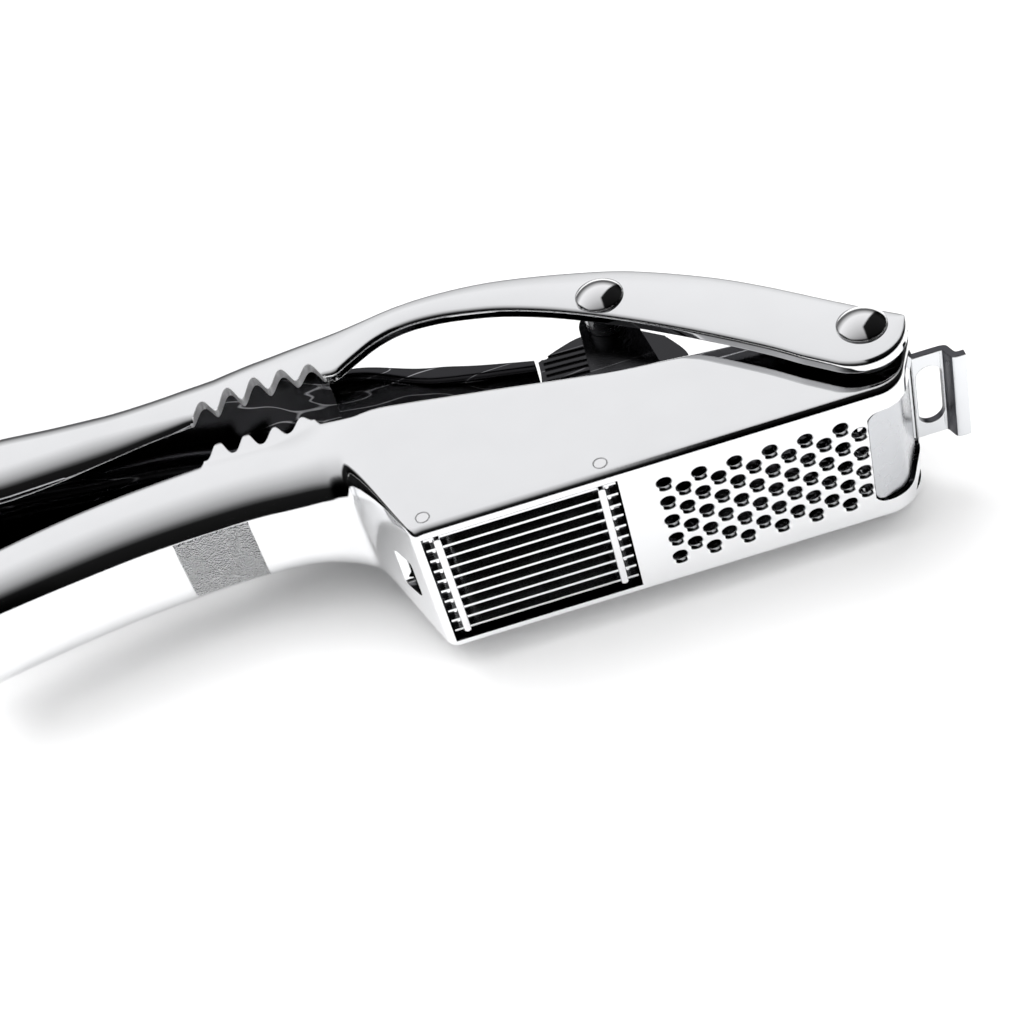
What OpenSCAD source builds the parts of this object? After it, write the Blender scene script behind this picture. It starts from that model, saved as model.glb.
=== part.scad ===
// Garlic press and slicer: a two-chamber hopper with a lower handle, a forked upper handle,
// a rocking pusher, slicing blades and an opener tab.
// X runs from the grips to the hinge, Y stands up from the perforated face, and Z runs across.
// The origin is the centre of the perforated face.

/* [Hopper] */
// Length of the flat perforated face
face_l = 89; // [86:1:92]
// Width over the two side walls
hopper_w = 34; // [32:1:36]
// Thickness of the side walls
wall_t = 2.3; // [2:0.1:2.6]
// Thickness of the perforated floor
floor_t = 2; // [1.8:0.1:2.4]
// Lean of the grip-side end wall from upright, in degrees
left_lean = 25.6; // [20:0.2:28]
// Lean of the hinge-side end wall from upright, in degrees
right_lean = 27; // [24:0.5:30]
// Radius between the face and the hinge-side end wall
corner_r = 7; // [5:0.5:8]
// Height of the hopper walls at the grip side
hopper_h = 36.3; // [34:0.1:38]

/* [Slicer] */
// Number of blades
blade_count = 10; // [8:1:10]
// Distance between blades
blade_pitch = 2.9; // [2.8:0.05:2.95]
// Thickness of a blade
blade_t = 0.6; // [0.4:0.1:0.8]
// Height of a blade
blade_h = 5; // [4:0.5:5.5]
// Start of the slicer opening from the grip-side edge of the face
slicer_x0 = 1.3; // [1:0.1:2]
// End of the slicer opening
slicer_x1 = 38.9; // [37:0.1:39.5]
// Radius of the cross pins that hold the blades
pin_r = 1.25; // [1:0.05:1.4]

/* [Mincing grid] */
// Radius of a mincing hole
hole_r = 1.25; // [1:0.05:1.4]
// Place of the first column of holes
grid_x0 = 47.2; // [46.5:0.1:48]
// Number of columns, which alternate between five and four holes
grid_columns = 12; // [10:1:12]
// Distance between columns
column_pitch = 3.4; // [3.2:0.05:3.45]
// Distance between the holes of a column
row_pitch = 5.1; // [4.6:0.1:5.2]

/* [Levers] */
// Half width of both grips
grip_half_w = 12.5; // [11:0.5:13.5]
// Thickness of the grip channels' sides
channel_t = 2.2; // [2:0.1:2.8]
// Thickness of the grip channels' backs
back_t = 2.4; // [2.2:0.1:3]
// Thickness of a fork plate
fork_t = 2.6; // [2.4:0.1:3]
// Gap between a fork plate and the hopper
fork_gap = 1.9; // [1.6:0.1:2]
// Place of the hinge axis from the grip-side edge of the face
hinge_x = 90.7; // [90:0.1:91.5]
// Height of the hinge axis above the face
hinge_y = 13.5; // [13:0.1:14]
// Angle from the stored pose to fully closed, in degrees
close_angle = 4; // [3:0.5:4.5]

/* [Pusher] */
// Place of the pusher rivet in the stored pose
pusher_x = 47.3; // [46.5:0.1:48]
// Height of the pusher rivet in the stored pose
pusher_y = 43.1; // [42.5:0.1:43.5]
// Share of the handle's turn by which the pusher tips back to level
tilt_ratio = 0.12; // [0:0.01:0.12]
// Gap between the pusher and the chamber walls
pusher_gap = 0.5; // [0.4:0.1:0.8]

/* [Rivets] */
// Radius of the rivet shafts
rivet_r = 3; // [2.5:0.1:3.2]
// Radius of the domed rivet heads
head_r = 4.8; // [4.4:0.1:5.2]
// Height of the domed rivet heads
head_h = 2.2; // [1.6:0.1:2.6]

/* [Opener tab] */
// Width of the tab
tab_w = 21.2; // [20:0.2:22]
// Thickness of the tab
tab_t = 1.4; // [1.2:0.1:1.6]
// Outer end of the tab from the grip-side edge of the face
tab_end_x = 108.6; // [107:0.1:110]

/* [Hidden] */
$fn = 48;

hinge = [hinge_x, hinge_y];
pusher_axis = [pusher_x, pusher_y];
half_w = hopper_w / 2;
chamber_half_w = half_w - wall_t;
fork_in = half_w + fork_gap;
fork_out = fork_in + fork_t;
press_clearance = 0.02;
running_clearance = 0.05;
reach = 120;

// Hopper end around the hinge: the leaning wall touches a round boss
lean_corner_x = face_l + corner_r * tan((90 - right_lean) / 2);
boss_r = (lean_corner_x - hinge_x) * cos(right_lean) + hinge_y * sin(right_lean);
end_wall_t = 3;
end_wall_top = 16.5;
end_blend_y = 19.8;

// Grips
grip_end_x = -98;
neck_x0 = -3;
neck_x1 = -22;
fork_x0 = 12;
fork_x1 = -55;
web_end_x = -8;
tooth_pitch = 5.8;
lower_tooth_x0 = -33.3;
upper_tooth_x0 = -35;

// Slicer
pin_y = 3.4;
left_pin_x = slicer_x0 + 1.6;
right_pin_x = slicer_x1 - 2;
blade_y0 = 1.3;
comb_l = 3.7;
comb_lip = 1.8;
comb_y0 = 0.4;
comb_y1 = 5.6;
blade_slot_t = blade_t + 2 * running_clearance;
blade_end_gap = 0.3;
fin_slot_t = blade_t + 1;

// Divider between the chambers
divider_x0 = 40.4;
divider_t = 2.4;
divider_y = 9.4;
chamber_left_x = -4.4;
chamber_blend_y = 13;

// Pusher in its closed place
closed_pusher_axis = hinge + turned(pusher_axis - hinge, close_angle);
pusher_half_w = chamber_half_w - pusher_gap;
fin_bottom = 1.2;
sole_y = floor_t + 0.3;
block_top = divider_y + 0.6;
beam_top = block_top + 3.5;
beam_x0 = 7;
beam_x1 = 78;
hump_r = 8.2;
cheek_r = 5.4;
boss_half_w = 4.5;
cheek_t = 2.2;
screw_xs = [14, 26, 62, 72];
screw_r = 1.5;
screw_head_r = 2.8;
screw_depth = 3;
screw_head_t = 1.4;
screw_sink = 1.6;
fin_side_gap = 1.4;
nose_x = 85.6;

// Opener tab
tab_y = 12;
tab_in_x = 94.4;
tab_bend_x = 105.7;
tab_drop = 2.9;
slot_half_l = 7.5;
slot_r = 2.6;
slot_x = 102;

function turned(p, a) = [p[0] * cos(a) - p[1] * sin(a), p[0] * sin(a) + p[1] * cos(a)];
function arc(c, r, a0, a1, n = 12) =
    [for (i = [0:n]) c + r * [cos(a0 + (a1 - a0) * i / n), sin(a0 + (a1 - a0) * i / n)]];
function clamped(t) = min(1, max(0, t));
function eased(t) = let (u = clamped(t)) u * u * (3 - 2 * u);
function spline_point(p, i, t) =
    let (last = len(p) - 1, a = p[max(i - 1, 0)], b = p[i], c = p[i + 1], d = p[min(i + 2, last)])
    0.5 * (2 * b + (c - a) * t + (2 * a - 5 * b + 4 * c - d) * t * t
    + (3 * b - a - 3 * c + d) * t * t * t);
// A smooth line through a few points
function spline(p, n = 5) =
    concat([for (i = [0:len(p) - 2]) for (j = [0:n - 1]) spline_point(p, i, j / n)],
           [p[len(p) - 1]]);
// A row of pointed teeth or notches: each has a foot, a tip and a foot
function teeth(x0, foot_y, tip_y, half) =
    [for (i = [0:len(tip_y) - 1]) for (j = [-1:1])
        [x0 + i * tooth_pitch + j * half, j == 0 ? tip_y[i] : foot_y[i + (j + 1) / 2]]];
function grip_width(x, x_wide, x_narrow, wide) =
    grip_half_w + (wide - grip_half_w) * eased((x - x_narrow) / (x_wide - x_narrow));
function reversed(p) = [for (i = [len(p) - 1:-1:0]) p[i]];

// Outline of the hinge-side end of the hopper, moved inwards by inset
function hopper_end(inset, last_angle) = concat(
    arc([face_l, corner_r], corner_r - inset, -90, -right_lean),
    arc(hinge, boss_r - inset, -right_lean, last_angle)
);
lower_top = spline([[84, 22.6], [70, 23.5], [55.8, 25.1], [42.7, 27], [20, 32], [1, 36],
                    [-5, hopper_h], [-12.3, 39.6]]);
lower_rim = spline([[-37, 41], [-54, 39.6], [-68.5, 37.4], [-85, 33.6], [-93, 31.2]]);
lower_back = spline([[-93, 17.6], [-85, 19.6], [-68, 22.6], [-50, 24.8], [-30, 25.3],
                     [-18, 23.6], [-end_blend_y * tan(left_lean), end_blend_y]]);
lower_outline = concat(
    [[0, 0]],
    hopper_end(0, 100),
    lower_top,
    reversed(teeth(lower_tooth_x0, [41, 41, 41, 41, 41], [45.6, 45.4, 44.6, 43.6], 2.6)),
    lower_rim,
    arc([-91, 24.4], 7, 110, 250),
    lower_back
);
upper_crown = spline([[97.9, 14.9], [88.8, 22.9], [77.3, 33.4], [67.5, 41.1], [54.2, 49.3],
                      [42.6, 54], [32.1, 57.3], [24.3, 59], [16.2, 59.8], [8, 59.9], [0, 60],
                      [-7, 61], [-17.6, 63.7], [-28, 66.2], [-46, 68.4], [-66, 70.4],
                      [-80, 72.2], [-91, 72], [-98.5, 68.2], [-101, 61.5], [-98.5, 54.8],
                      [-92, 51.6]]);
upper_rim = spline([[-78, 51.2], [-60, 51.8], [-48, 52.4], [-39, 52.2]]);
fork_under = spline([[-8.6, 47], [-6.4, 46.6], [-2.2, 48.6], [2.8, 50.9], [8.3, 52.1],
                     [14.9, 51.9], [22, 50.3], [29.5, 47.6], [39.3, 42.3], [50.3, 34.7],
                     [60.8, 26.4], [72, 16.6], [78, 10.6]]);
upper_outline = concat(
    upper_crown,
    upper_rim,
    teeth(upper_tooth_x0, [52, 51.9, 51.4, 50.7, 49.3, 47.2], [56.1, 56.6, 55.9, 54.4, 52.2],
          2.7),
    fork_under,
    arc([89.4, 12.8], 9.3, 225, 360),
    arc([96.2, 13], 2.5, 0, 48)
);

// Everything is laid out from the grip-side edge of the face, then moved to the origin
module placed() {
    translate([-face_l / 2, 0, 0]) children();
}

module across(half, z = 0) {
    translate([0, 0, z - half]) linear_extrude(2 * half) children();
}

module both_sides() {
    children();
    mirror([0, 0, 1]) children();
}

// Turns its children about an axis that runs across
module about(axis, angle) {
    translate([axis[0], axis[1], 0]) rotate([0, 0, angle])
        translate([-axis[0], -axis[1], 0]) children();
}

// Brings the pusher from its closed place to its stored place
module from_closed() {
    about(hinge, -close_angle) about(closed_pusher_axis, tilt_ratio * close_angle) children();
}

module bore(axis, r, half, z = 0) {
    translate([axis[0], axis[1], z - half]) cylinder(h = 2 * half, r = r);
}

module box(x0, x1, y0, y1, half, z = 0) {
    translate([x0, y0, z - half]) cube([x1 - x0, y1 - y0, 2 * half]);
}

// A plan outline of both sides, standing up through the whole height
module plan(x_wide, x_narrow, wide, inset, x0, x1) {
    steps = 24;
    xs = concat([x0], [for (i = [0:steps]) x_narrow + (x_wide - x_narrow) * i / steps], [x1]);
    side = [for (x = xs) [x, grip_width(x, x_wide, x_narrow, wide) - inset]];
    translate([0, reach, 0]) rotate([90, 0, 0]) linear_extrude(2 * reach)
        polygon(concat(side, [for (p = reversed(side)) [p[0], -p[1]]]));
}

module mincing_holes() {
    countersink = 0.7;
    for (c = [0:grid_columns - 1]) {
        rows = c % 2 == 0 ? 5 : 4;
        for (r = [0:rows - 1]) {
            translate([grid_x0 + c * column_pitch, -1, (r - (rows - 1) / 2) * row_pitch])
                rotate([-90, 0, 0]) {
                    cylinder(h = floor_t + 2, r = hole_r, $fn = 16);
                    translate([0, 0, 1]) cylinder(h = countersink, r1 = hole_r + countersink,
                                                  r2 = hole_r, $fn = 16);
                }
        }
    }
}

module chambers() {
    inner_left = [[slicer_x0, -1], [slicer_x0, 1], [chamber_left_x, chamber_blend_y],
                  [chamber_left_x, reach]];
    slicer = concat(inner_left, [[divider_x0, reach], [divider_x0, floor_t],
                                 [slicer_x1, floor_t], [slicer_x1, -1]]);
    mincing = concat([[divider_x0 + divider_t, reach], [divider_x0 + divider_t, floor_t],
                      [face_l - 3, floor_t]],
                     arc(hinge, boss_r - end_wall_t, -50, 10), [[hinge_x + 6, reach]]);
    across(chamber_half_w) polygon(slicer);
    across(chamber_half_w) polygon(mincing);
    box(divider_x0 - 1, divider_x0 + divider_t + 1, divider_y, reach, chamber_half_w);
    box(hinge_x - 1, hinge_x + boss_r + 1, end_wall_top, reach, chamber_half_w);
}

// Shallow panel that wraps from the face around the hinge-side corner
module end_recess() {
    depth = 0.6;
    panel_half_w = 12;
    x0 = 86.2;
    across(panel_half_w)
        polygon(concat([[x0, -1]], hopper_end(-1, -12), reversed(hopper_end(depth, -12)),
                       [[x0, depth]]));
}

module lower_channel() {
    floor_line = [for (p = lower_back) if (p[0] > -92 && p[0] < -12) p + [0, back_t]];
    intersection() {
        plan(neck_x0, neck_x1, half_w, channel_t, -91, neck_x0);
        across(half_w) polygon(concat([[-92, reach], [-92, 21.5]], floor_line,
                                      [[-8, 28], [-6.8, reach]]));
    }
}

module left_window() {
    window_y0 = 4.6;
    window_y1 = 9.8;
    window_half_w = 5;
    box(-9, slicer_x0 + 1, window_y0, window_y1, window_half_w);
}

module body_casting() {
    color("gainsboro") difference() {
        intersection() {
            across(half_w) polygon(lower_outline);
            plan(neck_x0, neck_x1, half_w, 0, grip_end_x - 2, reach);
        }
        chambers();
        lower_channel();
        mincing_holes();
        end_recess();
        left_window();
        bore(hinge, rivet_r + press_clearance, reach);
        for (x = [left_pin_x, right_pin_x]) bore([x, pin_y], pin_r + press_clearance, reach);
        box(tab_in_x - 1, reach, tab_y - press_clearance, tab_y + tab_t + press_clearance,
            tab_w / 2 + press_clearance);
    }
}

module upper_channel() {
    end_x = web_end_x + 1;
    under_crown = [for (p = upper_crown) if (p[0] < end_x && p[0] > -92 && p[1] > 55)
                       p - [0, back_t]];
    intersection() {
        plan(fork_x0, fork_x1, fork_out, channel_t, -96, reach);
        across(fork_out) polygon(concat([[end_x, 0], [end_x, 59.8]], under_crown,
                                        [[-96, 62], [-96, 0]]));
    }
}

// The space between the two fork plates
module fork_window() {
    intersection() {
        plan(fork_x0, fork_x1, fork_out, fork_t, grip_end_x, reach);
        box(web_end_x, reach, 0, reach, fork_out);
    }
}

// Central spine that reaches from the handle's back to the pusher and narrows on the way
module spine() {
    root_half_w = 9;
    tip_half_w = 5;
    taper_x0 = -6;
    taper_x1 = 12;
    tip_x = 31.6;
    side = [[-12, root_half_w], [taper_x0, root_half_w], [taper_x1, tip_half_w],
            [tip_x, tip_half_w]];
    intersection() {
        across(root_half_w)
            polygon([[-10, 58.6], [-6, 62], [2, 59.8], [17, 54.4], [tip_x, 49.6],
                     [tip_x, 46.2], [16, 50.4], [0, 56]]);
        translate([0, reach, 0]) rotate([90, 0, 0]) linear_extrude(2 * reach)
            polygon(concat(side, [for (p = reversed(side)) [p[0], -p[1]]]));
    }
}

module upper_handle() {
    color("gainsboro") difference() {
        union() {
            difference() {
                intersection() {
                    across(fork_out) polygon(upper_outline);
                    plan(fork_x0, fork_x1, fork_out, 0, -102, reach);
                }
                upper_channel();
                fork_window();
            }
            spine();
        }
        bore(hinge, rivet_r + running_clearance, reach);
        bore(pusher_axis, rivet_r + press_clearance, reach);
    }
}

// A domed head whose flat side lies at z = 0
module rivet_head() {
    dome_r = (head_r * head_r + head_h * head_h) / (2 * head_h);
    intersection() {
        translate([0, 0, head_h - dome_r]) sphere(r = dome_r, $fn = 64);
        cylinder(h = head_h + 1, r = head_r);
    }
}

module hinge_rivet() {
    color("white") translate([hinge[0], hinge[1], 0]) {
        translate([0, 0, chamber_half_w]) cylinder(h = fork_out - chamber_half_w, r = rivet_r);
        translate([0, 0, fork_out]) rivet_head();
    }
}

module hinge_washers() {
    washer_t = fork_gap - 2 * running_clearance;
    washer_rim = 3.5;
    color("dimgray") both_sides() translate([hinge[0], hinge[1], half_w + running_clearance])
        difference() {
            cylinder(h = washer_t, r = rivet_r + washer_rim);
            translate([0, 0, -1]) cylinder(h = washer_t + 2, r = rivet_r + press_clearance);
        }
}

module pusher_rivet() {
    color("white") translate([pusher_axis[0], pusher_axis[1], 0]) {
        translate([0, 0, -fork_out]) cylinder(h = 2 * fork_out, r = rivet_r);
        both_sides() translate([0, 0, fork_out]) rivet_head();
    }
}

module pusher_spacers() {
    spacer_l = fork_in - pusher_half_w - 3 * running_clearance;
    spacer_wall = 0.9;
    color("silver") both_sides()
        translate([pusher_axis[0], pusher_axis[1], pusher_half_w + 2 * running_clearance])
            difference() {
                cylinder(h = spacer_l, r = rivet_r + spacer_wall);
                translate([0, 0, -1]) cylinder(h = spacer_l + 2, r = rivet_r + press_clearance);
            }
}

// Beam over both blocks, with a humped boss in the middle and a cheek at each side
module pusher_carrier() {
    axis = closed_pusher_axis;
    color("darkgray") from_closed() difference() {
        union() {
            across(pusher_half_w)
                polygon([[beam_x0 + 1, block_top], [beam_x0, beam_top - 1],
                         [beam_x0 + 2, beam_top], [beam_x1 - 8, beam_top],
                         [beam_x1, block_top + 1], [beam_x1, block_top]]);
            across(boss_half_w)
                polygon(concat([[axis[0] + 13.6, beam_top - 1], axis + [13, -10],
                                axis + [14.6, -4], axis + [11, 2.9]],
                               arc(axis, hump_r, 45, 95),
                               [axis + [-8, 7.4], axis + [-15, 4.6], axis + [-15, 1],
                                [28, beam_top - 1]]));
            both_sides() across(cheek_t / 2, pusher_half_w - cheek_t / 2)
                polygon(concat([[axis[0] + cheek_r + 5, beam_top - 1]],
                               arc(axis, cheek_r, 0, 180), [[axis[0] - cheek_r, beam_top - 1]]));
        }
        bore(axis, rivet_r + running_clearance, reach);
        for (x = screw_xs) {
            translate([x, block_top - 1, 0]) rotate([-90, 0, 0])
                cylinder(h = reach, r = screw_r + press_clearance);
            translate([x, beam_top - screw_sink, 0]) rotate([-90, 0, 0])
                cylinder(h = reach, r = screw_head_r + press_clearance);
        }
    }
}

module screw_holes() {
    end_gap = 0.3;
    for (x = screw_xs)
        translate([x, block_top - screw_depth - end_gap, 0]) rotate([-90, 0, 0])
            cylinder(h = reach, r = screw_r + press_clearance);
}

module slicer_pusher() {
    slot_top = blade_y0 + blade_h + 0.6;
    fins_x0 = left_pin_x + comb_lip + fin_side_gap;
    fins_x1 = right_pin_x - comb_lip - fin_side_gap;
    color("darkgray") from_closed() difference() {
        box(fins_x0, fins_x1, fin_bottom, block_top, pusher_half_w);
        for (i = [0:blade_count - 1])
            box(0, slicer_x1, 0, slot_top, fin_slot_t / 2, blade_z(i));
        screw_holes();
    }
}

module mincing_pusher() {
    x0 = divider_x0 + divider_t + fin_side_gap;
    color("darkgray") from_closed() difference() {
        across(pusher_half_w)
            polygon([[x0, sole_y + 1], [x0 + 1, sole_y], [nose_x - 1.6, sole_y],
                     [nose_x, sole_y + 1.2], [nose_x, sole_y + 4],
                     [nose_x - 7, block_top], [x0, block_top]]);
        screw_holes();
    }
}

module pusher_screws() {
    color("silver") from_closed() for (x = screw_xs) translate([x, 0, 0]) {
        translate([0, block_top - screw_depth, 0]) rotate([-90, 0, 0])
            cylinder(h = beam_top - block_top + screw_depth - 0.5, r = screw_r);
        translate([0, beam_top - screw_sink + 0.1, 0]) rotate([-90, 0, 0])
            cylinder(h = screw_head_t, r = screw_head_r);
    }
}

function blade_z(i) = (i - (blade_count - 1) / 2) * blade_pitch;

module slicer_blade(i) {
    color("white") difference() {
        box(slicer_x0 + blade_end_gap, slicer_x1 - blade_end_gap, blade_y0, blade_y0 + blade_h,
            blade_t / 2, blade_z(i));
        for (x = [left_pin_x, right_pin_x]) bore([x, pin_y], pin_r + press_clearance, reach);
    }
}

// A slotted comb on the pin at x; side is 1 where the comb reaches towards the hinge
module blade_comb(x, side) {
    near = x - side * (comb_l - 2.3);
    far = near + side * comb_l;
    color("silver") difference() {
        union() {
            box(min(near, far), max(near, far), comb_y0 + 1.6, comb_y1,
                chamber_half_w - press_clearance);
            box(min(far, far - side * comb_lip), max(far, far - side * comb_lip), comb_y0,
                comb_y1, chamber_half_w - press_clearance);
        }
        for (i = [0:blade_count - 1])
            box(x - 5, x + 5, blade_y0 - press_clearance, reach, blade_slot_t / 2, blade_z(i));
        bore([x, pin_y], pin_r + press_clearance, reach);
    }
}

module blade_pin(x) {
    color("white") bore([x, pin_y], pin_r, half_w);
}

module opener_tab() {
    lip_y = tab_y - tab_drop;
    color("white") difference() {
        across(tab_w / 2) polygon([[tab_in_x, tab_y], [tab_bend_x - 0.8, tab_y],
                                   [tab_bend_x + 0.3, lip_y], [tab_end_x, lip_y],
                                   [tab_end_x, lip_y + tab_t], [tab_bend_x + 1.5, lip_y + tab_t],
                                   [tab_bend_x + 0.4, tab_y + tab_t], [tab_in_x, tab_y + tab_t]]);
        for (s = [-1, 1])
            translate([slot_x, tab_y - 1, s * (slot_half_l - slot_r)]) rotate([-90, 0, 0])
                cylinder(h = tab_t + 2, r = slot_r);
        box(slot_x - slot_r, slot_x + slot_r, tab_y - 1, tab_y + tab_t + 1, slot_half_l - slot_r);
    }
}

placed() body_casting();
placed() upper_handle();
placed() hinge_rivet();  // hinge_rivet_near
placed() mirror([0, 0, 1]) hinge_rivet();  // hinge_rivet_far
placed() hinge_washers();
placed() pusher_rivet();
placed() pusher_spacers();
placed() pusher_carrier();
placed() slicer_pusher();
placed() mincing_pusher();
placed() pusher_screws();
placed() blade_comb(left_pin_x, 1);  // blade_comb_left
placed() blade_comb(right_pin_x, -1);  // blade_comb_right
placed() blade_pin(left_pin_x);  // blade_pin_left
placed() blade_pin(right_pin_x);  // blade_pin_right
placed() opener_tab();
for (i = [0:blade_count - 1])
    placed() slicer_blade(i);
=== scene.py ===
"""Garlic press and slicer: polished castings, rivets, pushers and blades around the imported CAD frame."""
import math

import bmesh
import bpy
import numpy as np
from mathutils import Matrix, Vector


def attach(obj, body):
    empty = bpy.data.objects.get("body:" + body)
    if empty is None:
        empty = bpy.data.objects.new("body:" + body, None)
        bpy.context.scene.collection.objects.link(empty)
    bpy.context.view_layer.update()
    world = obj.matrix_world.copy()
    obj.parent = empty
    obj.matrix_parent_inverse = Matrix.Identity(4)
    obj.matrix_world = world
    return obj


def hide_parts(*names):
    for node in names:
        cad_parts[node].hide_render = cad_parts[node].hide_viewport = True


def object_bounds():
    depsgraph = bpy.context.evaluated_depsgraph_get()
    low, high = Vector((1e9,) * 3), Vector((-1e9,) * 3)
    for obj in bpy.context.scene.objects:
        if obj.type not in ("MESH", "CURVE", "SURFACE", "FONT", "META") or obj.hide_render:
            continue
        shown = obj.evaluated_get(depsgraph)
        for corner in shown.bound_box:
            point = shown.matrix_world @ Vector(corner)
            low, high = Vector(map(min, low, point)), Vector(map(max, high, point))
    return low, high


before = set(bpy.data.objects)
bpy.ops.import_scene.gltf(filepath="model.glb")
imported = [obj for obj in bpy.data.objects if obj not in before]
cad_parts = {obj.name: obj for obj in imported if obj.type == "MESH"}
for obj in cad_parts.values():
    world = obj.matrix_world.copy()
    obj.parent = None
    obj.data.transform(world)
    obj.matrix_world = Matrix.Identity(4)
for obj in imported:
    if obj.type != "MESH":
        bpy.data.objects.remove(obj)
CAD_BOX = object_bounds()

MM = 0.001
FACE_L = 89.0          # length of the perforated face, in millimetres like all sizes below
HALF_W = 17.0          # hopper half width
CHAMBER_HALF_W = 14.7
FLOOR_T = 2.0
GRIP_HALF_W = 12.5
CHANNEL_T = 2.2
BACK_T = 2.4
FORK_T = 2.6
FORK_OUT = 21.5
HINGE = (90.7, 13.5)
PUSHER_AXIS = (47.3, 43.1)
LEAN = 27.0
CORNER_R = 7.0
BOSS_R = 8.436
TOOTH_PITCH = 5.8
SLICER_X = (1.3, 38.9)
PANEL_X = 86.2
PANEL_HALF_W = 12.0
DIVIDER_X = (40.4, 42.8)
PIN_XS = (2.9, 36.9)
PIN_Y = 3.4
PIN_R = 1.25
BLADE_COUNT = 10
BLADE_PITCH = 2.9
CLOSE_ANGLE = 4.0
UPPER_END_X = -101
LOWER_END_X = -98
GRIP_ROUND = 7
END_WALL_T = 3
END_WALL_TOP = 16.5
DIVIDER_TOP = 9.4
HOLE_R = 1.25
HOLE_COLUMNS = 12
HOLE_X0 = 47.2
COLUMN_PITCH = 3.4
ROW_PITCH = 5.1
RIVET_R = 3
BLADE_T = 0.6
BLADE_Y = (1.3, 6.3)
BLADE_END_GAP = 0.3
TAB_HALF_W = 10.6
TILT_RATIO = 0.12


# ---------------------------------------------------------------- outlines

def spline(points, n=14):
    """A smooth line through a few points, as an array of (x, y)."""
    p = np.array(points, float)
    ends = len(p) - 1
    line = []
    for i in range(ends):
        a, b, c, d = p[max(i - 1, 0)], p[i], p[i + 1], p[min(i + 2, ends)]
        for t in np.arange(n) / n:
            line.append(0.5 * (2 * b + (c - a) * t + (2 * a - 5 * b + 4 * c - d) * t ** 2
                               + (3 * b - a - 3 * c + d) * t ** 3))
    line.append(p[-1])
    return np.array(line)


def arc(centre, r, a0, a1, n=20):
    """Points of an arc, from angle a0 to angle a1 in degrees."""
    a = np.radians(np.linspace(a0, a1, n + 1))
    return np.array(centre) + r * np.stack([np.cos(a), np.sin(a)], 1)


def teeth(x0, tips, feet, half, point=1.0):
    """A row of rounded teeth, each between two feet; a larger point makes them sharper."""
    line = []
    for i, tip in enumerate(tips):
        for u in np.linspace(-1, 1, 19):
            swell = (0.5 + 0.5 * math.cos(math.pi * u)) ** point
            foot = feet[i] + (feet[i + 1] - feet[i]) * (u + 1) / 2
            line.append((x0 + i * TOOTH_PITCH + u * half, foot + (tip - foot) * swell))
    return line


def rotated(points, centre, degrees):
    """The points turned about centre, anticlockwise."""
    a = math.radians(degrees)
    turn = np.array([[math.cos(a), math.sin(a)], [-math.sin(a), math.cos(a)]])
    return (np.array(points, float) - centre) @ turn + centre


def height_of(line):
    """A function that gives the line's height at x."""
    line = np.array(sorted(map(tuple, line)))
    return lambda x: float(np.interp(x, line[:, 0], line[:, 1]))


def eased(t):
    """A smooth step from 0 to 1 as t goes from 0 to 1."""
    u = min(1.0, max(0.0, t))
    return u * u * (3 - 2 * u)


def between(a, b, t):
    """From a to b, smoothly, as t goes from 0 to 1."""
    return a + (b - a) * eased(t)


def hopper_end(last):
    """The outline round the hinge end: the face's corner, then the boss up to the angle last."""
    return np.concatenate([
        arc((FACE_L, CORNER_R), CORNER_R, -90, -LEAN),
        arc(HINGE, BOSS_R, -LEAN, last),
    ])


UPPER_CROWN = spline([(97.9, 14.9), (88.8, 22.9), (77.3, 33.4), (67.5, 41.1), (54.2, 49.3),
                      (42.6, 54), (32.1, 57.3), (24.3, 59), (16.2, 59.8), (8, 59.9), (0, 60),
                      (-7, 61), (-17.6, 63.7), (-28, 66.2), (-46, 68.4), (-66, 70.4),
                      (-80, 72.2), (-91, 72), (-98.5, 68.2), (-101, 61.5), (-98.5, 54.8),
                      (-92, 51.6)])
UPPER_RIM = spline([(-78, 51.2), (-60, 51.8), (-48, 52.4), (-39, 52.2)])
FORK_UNDER = spline([(-8.6, 47), (-6.4, 46.6), (-2.2, 48.6), (2.8, 50.9), (8.3, 52.1),
                     (14.9, 51.9), (22, 50.3), (29.5, 47.6), (39.3, 42.3), (50.3, 34.7),
                     (60.8, 26.4), (72, 16.6), (78, 10.6)])
FORK_END = np.concatenate([arc((89.4, 12.8), 9.3, 225, 360), arc((96.2, 13), 2.5, 0, 48)])
NOTCHES = teeth(-35, (56.1, 56.6, 55.9, 54.4, 52.2), (52, 51.9, 51.4, 50.7, 49.3, 47.2), 2.85, 0.8)

LOWER_TOP = spline([(84, 22.6), (70, 23.5), (55.8, 25.1), (42.7, 27), (20, 32), (1, 36),
                    (-5, 36.3), (-12.3, 39.6)])
LOWER_TOOTH_TOP = [(-12.9, 41), (-14.2, 44.4), (-16, 45.4), (-31, 46.3), (-34.6, 46.3),
                   (-36.4, 44), (-37, 41)]
LOWER_RIM = spline([(-37, 41), (-54, 39.6), (-68.5, 37.4), (-85, 33.6), (-93, 31.2)])
LOWER_BACK = spline([(-93, 17.6), (-85, 19.6), (-68, 22.6), (-50, 24.8), (-30, 25.3),
                     (-18, 23.6), (-9.5, 19.8)])
LOWER_TEETH = teeth(-33.3, (45.6, 45.4, 44.6, 43.6), (41,) * 5, 2.8, 1.1)


def split_chains(outline):
    """The lower and the upper side of a closed outline, from its left end to its right end."""
    outline = np.array(outline)
    left = int(outline[:, 0].argmin())
    turned = np.roll(outline, -left, axis=0)
    right = int(turned[:, 0].argmax())
    one = turned[:right + 1]
    other = np.concatenate([turned[right:], turned[:1]])[::-1]
    if one[:, 1].mean() < other[:, 1].mean():
        return one, other
    return other, one


# ---------------------------------------------------------------- mesh tools

def point(x, y, z=0.0):
    """A place in the shared frame from millimetres along, up from the face and across."""
    return Vector(((x - FACE_L / 2) * MM, y * MM, z * MM))


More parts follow.
